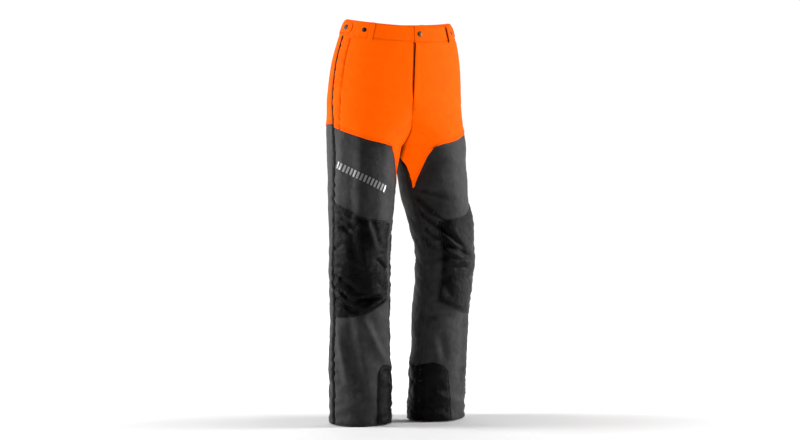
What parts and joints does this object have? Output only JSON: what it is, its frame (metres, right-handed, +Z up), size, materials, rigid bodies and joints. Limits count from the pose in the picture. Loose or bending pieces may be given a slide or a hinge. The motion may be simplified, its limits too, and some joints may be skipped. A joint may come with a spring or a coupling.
{
  "type": "chainsaw trousers",
  "caption": "Protective forestry trousers with cut-protection pads, knee and ankle patches, zip fly, snap tabs at the waist and a flapped rear pocket.",
  "frame": {"origin": "centre of the waist opening, level with the band at the two sides", "axes": "+Z up, the front faces -Y, +X is the wearer's left"},
  "size_m": [0.418, 0.2775, 1.08],
  "materials": {
    "orange_cloth": "hard-wearing woven polyester, high-visibility orange",
    "grey_cloth": "hard-wearing woven polyester, slate grey",
    "patch_cloth": "coated textured nylon, black, slight sheen",
    "saw_protection": "loose long-fibre protective wadding, off-white",
    "lining": "thin knitted polyester, dark grey",
    "zip_tape": "woven tape, dark rust",
    "zip_coil": "moulded coil",
    "zip_metal": "black lacquer",
    "snap_black": "black lacquer",
    "snap_brass": "antique brass"
  },
  "bodies": {
    "seat": {"back_pocket": "orange_cloth", "belt_loops": "orange_cloth", "fly_shield": "zip_tape", "pocket_bag_left": "lining", "pocket_bag_right": "lining", "snap_studs": "snap_black", "upper_back_panel_left": "orange_cloth", "upper_back_panel_right": "orange_cloth", "upper_front_panel_left": "orange_cloth", "upper_front_panel_right": "orange_cloth", "waistband_back": "orange_cloth", "waistband_front_left": "orange_cloth", "waistband_front_right": "orange_cloth", "zip_chain": "zip_coil", "zip_tapes": "zip_tape"},
    "thigh_right": {"hip_back_panel_right": "orange_cloth", "hip_front_panel_right": "orange_cloth", "hip_pad_right": "saw_protection", "thigh_back_panel_right": "grey_cloth", "thigh_front_panel_right": "grey_cloth", "thigh_lining_right": "lining", "thigh_pad_right": "saw_protection"},
    "thigh_left": {"hip_back_panel_left": "orange_cloth", "hip_front_panel_left": "orange_cloth", "hip_pad_left": "saw_protection", "thigh_back_panel_left": "grey_cloth", "thigh_front_panel_left": "grey_cloth", "thigh_lining_left": "lining", "thigh_pad_left": "saw_protection"},
    "shin_right": {"ankle_patch_right": "patch_cloth", "knee_back_panel_right": "grey_cloth", "knee_front_panel_right": "grey_cloth", "knee_pad_right": "saw_protection", "knee_patch_right": "patch_cloth", "shin_back_panel_right": "grey_cloth", "shin_front_panel_right": "grey_cloth", "shin_lining_right": "lining", "shin_pad_right": "saw_protection"},
    "shin_left": {"ankle_patch_left": "patch_cloth", "knee_back_panel_left": "grey_cloth", "knee_front_panel_left": "grey_cloth", "knee_pad_left": "saw_protection", "knee_patch_left": "patch_cloth", "shin_back_panel_left": "grey_cloth", "shin_front_panel_left": "grey_cloth", "shin_lining_left": "lining", "shin_pad_left": "saw_protection"},
    "fly_flap": {"fly_flap": "orange_cloth", "waistband_tab": "orange_cloth", "front_snap_cap": "snap_brass"},
    "zip_slider": {"zip_slider": "zip_metal", "zip_pull": "zip_metal"},
    "adjuster_right": {"adjuster_tab_right": "orange_cloth", "adjuster_cap_right": "snap_black"},
    "adjuster_left": {"adjuster_tab_left": "orange_cloth", "adjuster_cap_left": "snap_black"},
    "pocket_flap": {"pocket_flap": "orange_cloth", "pocket_flap_cap": "snap_black"}
  },
  "joints": [
    {"name": "hip_right", "type": "hinge", "parent": "seat", "child": "thigh_right", "pos_m": [-0.098, 0, -0.29], "axis": [-1, 0, 0], "range_deg": [-10, 65], "deforming": ["hip_front_panel_right", "hip_back_panel_right", "hip_pad_right"]},
    {"name": "knee_right", "type": "hinge", "parent": "thigh_right", "child": "shin_right", "pos_m": [-0.127, -0.02, -0.64], "axis": [1, 0, 0], "range_deg": [0, 85], "deforming": ["knee_front_panel_right", "knee_back_panel_right", "knee_patch_right", "knee_pad_right"]},
    {"name": "hip_left", "type": "hinge", "parent": "seat", "child": "thigh_left", "pos_m": [0.098, 0, -0.29], "axis": [-1, 0, 0], "range_deg": [-10, 65], "deforming": ["hip_front_panel_left", "hip_back_panel_left", "hip_pad_left"]},
    {"name": "knee_left", "type": "hinge", "parent": "thigh_left", "child": "shin_left", "pos_m": [0.127, -0.02, -0.64], "axis": [1, 0, 0], "range_deg": [0, 85], "deforming": ["knee_front_panel_left", "knee_back_panel_left", "knee_patch_left", "knee_pad_left"]},
    {"name": "fly_flap_open", "type": "hinge", "parent": "seat", "child": "fly_flap", "pos_m": [0.038, -0.1041, -0.13], "axis": [0, -0.0421, 0.9991], "range_deg": [0, 100]},
    {"name": "zip_slide", "type": "slide", "parent": "seat", "child": "zip_slider", "axis": [0, 0.0736, -0.9973], "range_m": [0, 0.12]},
    {"name": "adjuster_open_right", "type": "hinge", "parent": "seat", "child": "adjuster_right", "pos_m": [-0.14459, 0.04922, -0.0215], "axis": [-0.3126, 0.1451, -0.9387], "range_deg": [0, 110]},
    {"name": "adjuster_open_left", "type": "hinge", "parent": "seat", "child": "adjuster_left", "pos_m": [0.14459, 0.04922, -0.0215], "axis": [-0.3126, -0.1451, 0.9387], "range_deg": [0, 110]},
    {"name": "pocket_flap_lift", "type": "hinge", "parent": "seat", "child": "pocket_flap", "pos_m": [-0.11064, 0.11091, -0.088], "axis": [0.8739, 0.4862, 0], "range_deg": [0, 120]}
  ]
}
